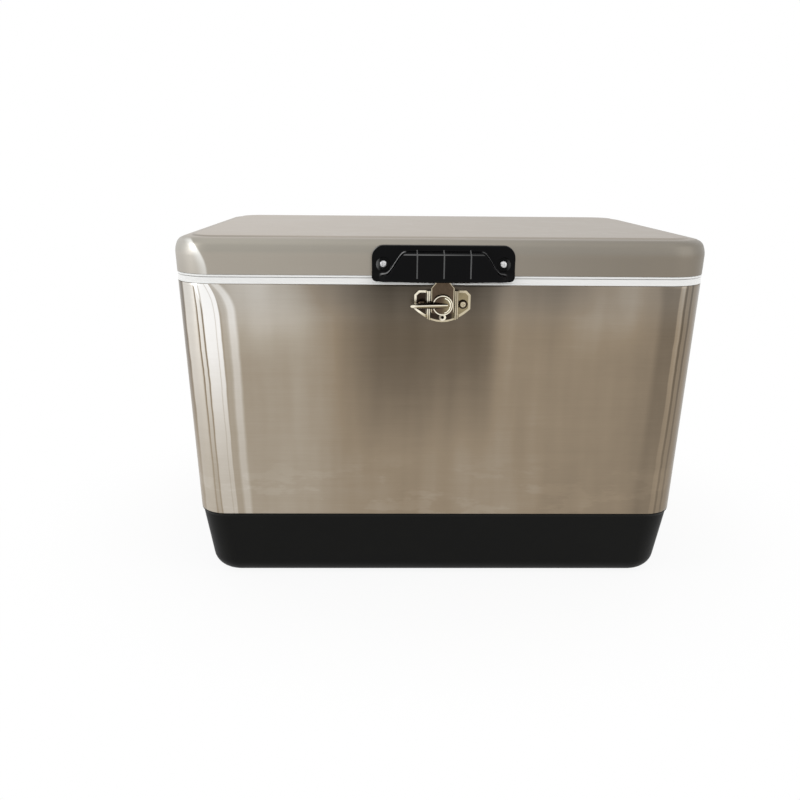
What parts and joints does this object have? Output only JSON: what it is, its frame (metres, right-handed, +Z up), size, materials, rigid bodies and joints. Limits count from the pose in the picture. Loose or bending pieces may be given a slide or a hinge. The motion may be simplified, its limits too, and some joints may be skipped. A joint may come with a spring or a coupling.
{
  "type": "ice chest",
  "caption": "Steel-belted insulated ice chest with a hinged lid, a turn latch, a lid pull, folding side handles and a capped drain.",
  "frame": {"origin": "under the middle of the whole chest, on the ground", "axes": "+Z up; the front with the latch faces -Y; +X is to the right of someone who looks at the front"},
  "size_m": [0.6374, 0.4604, 0.4121],
  "materials": {
    "lid_steel": "satin warm grey steel",
    "belt_steel": "brushed stainless steel",
    "white_plastic": "semi-gloss white",
    "black_base": "satin black",
    "black_moulding": "semi-gloss black",
    "latch_nickel": "bright nickel plate",
    "zinc_steel": "zinc-plated steel",
    "rubber": "matt",
    "insulation": "rigid foam"
  },
  "bodies": {
    "chest": {"tub_liner": "white_plastic", "body_foam": "insulation", "steel_belt": "belt_steel", "base_tray": "black_base", "latch_plate": "latch_nickel", "latch_screw_left": "latch_nickel", "latch_screw_right": "latch_nickel", "drain_spout": "white_plastic", "drain_nut": "white_plastic", "drain_gasket": "rubber", "hinge_left_body_leaf": "zinc_steel", "hinge_left_body_screw_a": "zinc_steel", "hinge_left_body_screw_b": "zinc_steel", "hinge_left_pin": "zinc_steel", "side_handle_left_bracket_front": "black_moulding", "side_handle_left_bracket_front_screw_low": "zinc_steel", "side_handle_left_bracket_front_screw_high": "zinc_steel", "side_handle_left_bracket_back": "black_moulding", "side_handle_left_bracket_back_screw_low": "zinc_steel", "side_handle_left_bracket_back_screw_high": "zinc_steel", "hinge_right_body_leaf": "zinc_steel", "hinge_right_body_screw_a": "zinc_steel", "hinge_right_body_screw_b": "zinc_steel", "hinge_right_pin": "zinc_steel", "side_handle_right_bracket_front": "black_moulding", "side_handle_right_bracket_front_screw_low": "zinc_steel", "side_handle_right_bracket_front_screw_high": "zinc_steel", "side_handle_right_bracket_back": "black_moulding", "side_handle_right_bracket_back_screw_low": "zinc_steel", "side_handle_right_bracket_back_screw_high": "zinc_steel"},
    "lid": {"lid_shell": "lid_steel", "lid_liner": "white_plastic", "lid_foam": "insulation", "lid_handle": "black_moulding", "lid_handle_screw_left": "zinc_steel", "lid_handle_screw_right": "zinc_steel", "latch_tongue": "latch_nickel", "latch_tongue_rivet_left": "zinc_steel", "latch_tongue_rivet_right": "zinc_steel", "hinge_left_lid_leaf": "zinc_steel", "hinge_left_lid_screw_a": "zinc_steel", "hinge_left_lid_screw_b": "zinc_steel", "hinge_right_lid_leaf": "zinc_steel", "hinge_right_lid_screw_a": "zinc_steel", "hinge_right_lid_screw_b": "zinc_steel"},
    "turret": {"latch_turret": "latch_nickel", "latch_turret_clip": "zinc_steel"},
    "side_handle_left": {"side_handle_left_bail": "zinc_steel", "side_handle_left_grip": "black_moulding"},
    "side_handle_right": {"side_handle_right_bail": "zinc_steel", "side_handle_right_grip": "black_moulding"},
    "drain_washer": {"drain_cap_washer": "rubber"},
    "drain_cap": {"drain_cap": "white_plastic"}
  },
  "joints": [
    {"name": "lid_hinge", "type": "hinge", "parent": "chest", "child": "lid", "pos_m": [0, 0.22662, 0.36843], "axis": [-1, 0, 0], "range_deg": [0, 100]},
    {"name": "latch_turn", "type": "hinge", "parent": "chest", "child": "turret", "pos_m": [0, -0.20875, 0.3402], "axis": [0, -0.999, -0.0449], "range_deg": [0, 90]},
    {"name": "side_handle_left_swing", "type": "hinge", "parent": "chest", "child": "side_handle_left", "pos_m": [-0.30816, 0.00635, 0.27444], "axis": [0, 1, 0], "range_deg": [0, 100]},
    {"name": "side_handle_right_swing", "type": "hinge", "parent": "chest", "child": "side_handle_right", "pos_m": [0.30816, 0.00635, 0.27444], "axis": [0, -1, 0], "range_deg": [0, 100]},
    {"name": "drain_cap_travel", "type": "slide", "parent": "chest", "child": "drain_washer", "axis": [1, 0, 0], "range_m": [0, 0.009]},
    {"name": "drain_cap_turn", "type": "hinge", "parent": "drain_washer", "child": "drain_cap", "pos_m": [0.3005, 0.00635, 0.0608], "axis": [1, 0, 0], "range_deg": [0, 1080]}
  ],
  "couplings": [
    {"joint": "drain_cap_travel", "follows": "drain_cap_turn", "m_per_rad": 0.00047746}
  ]
}
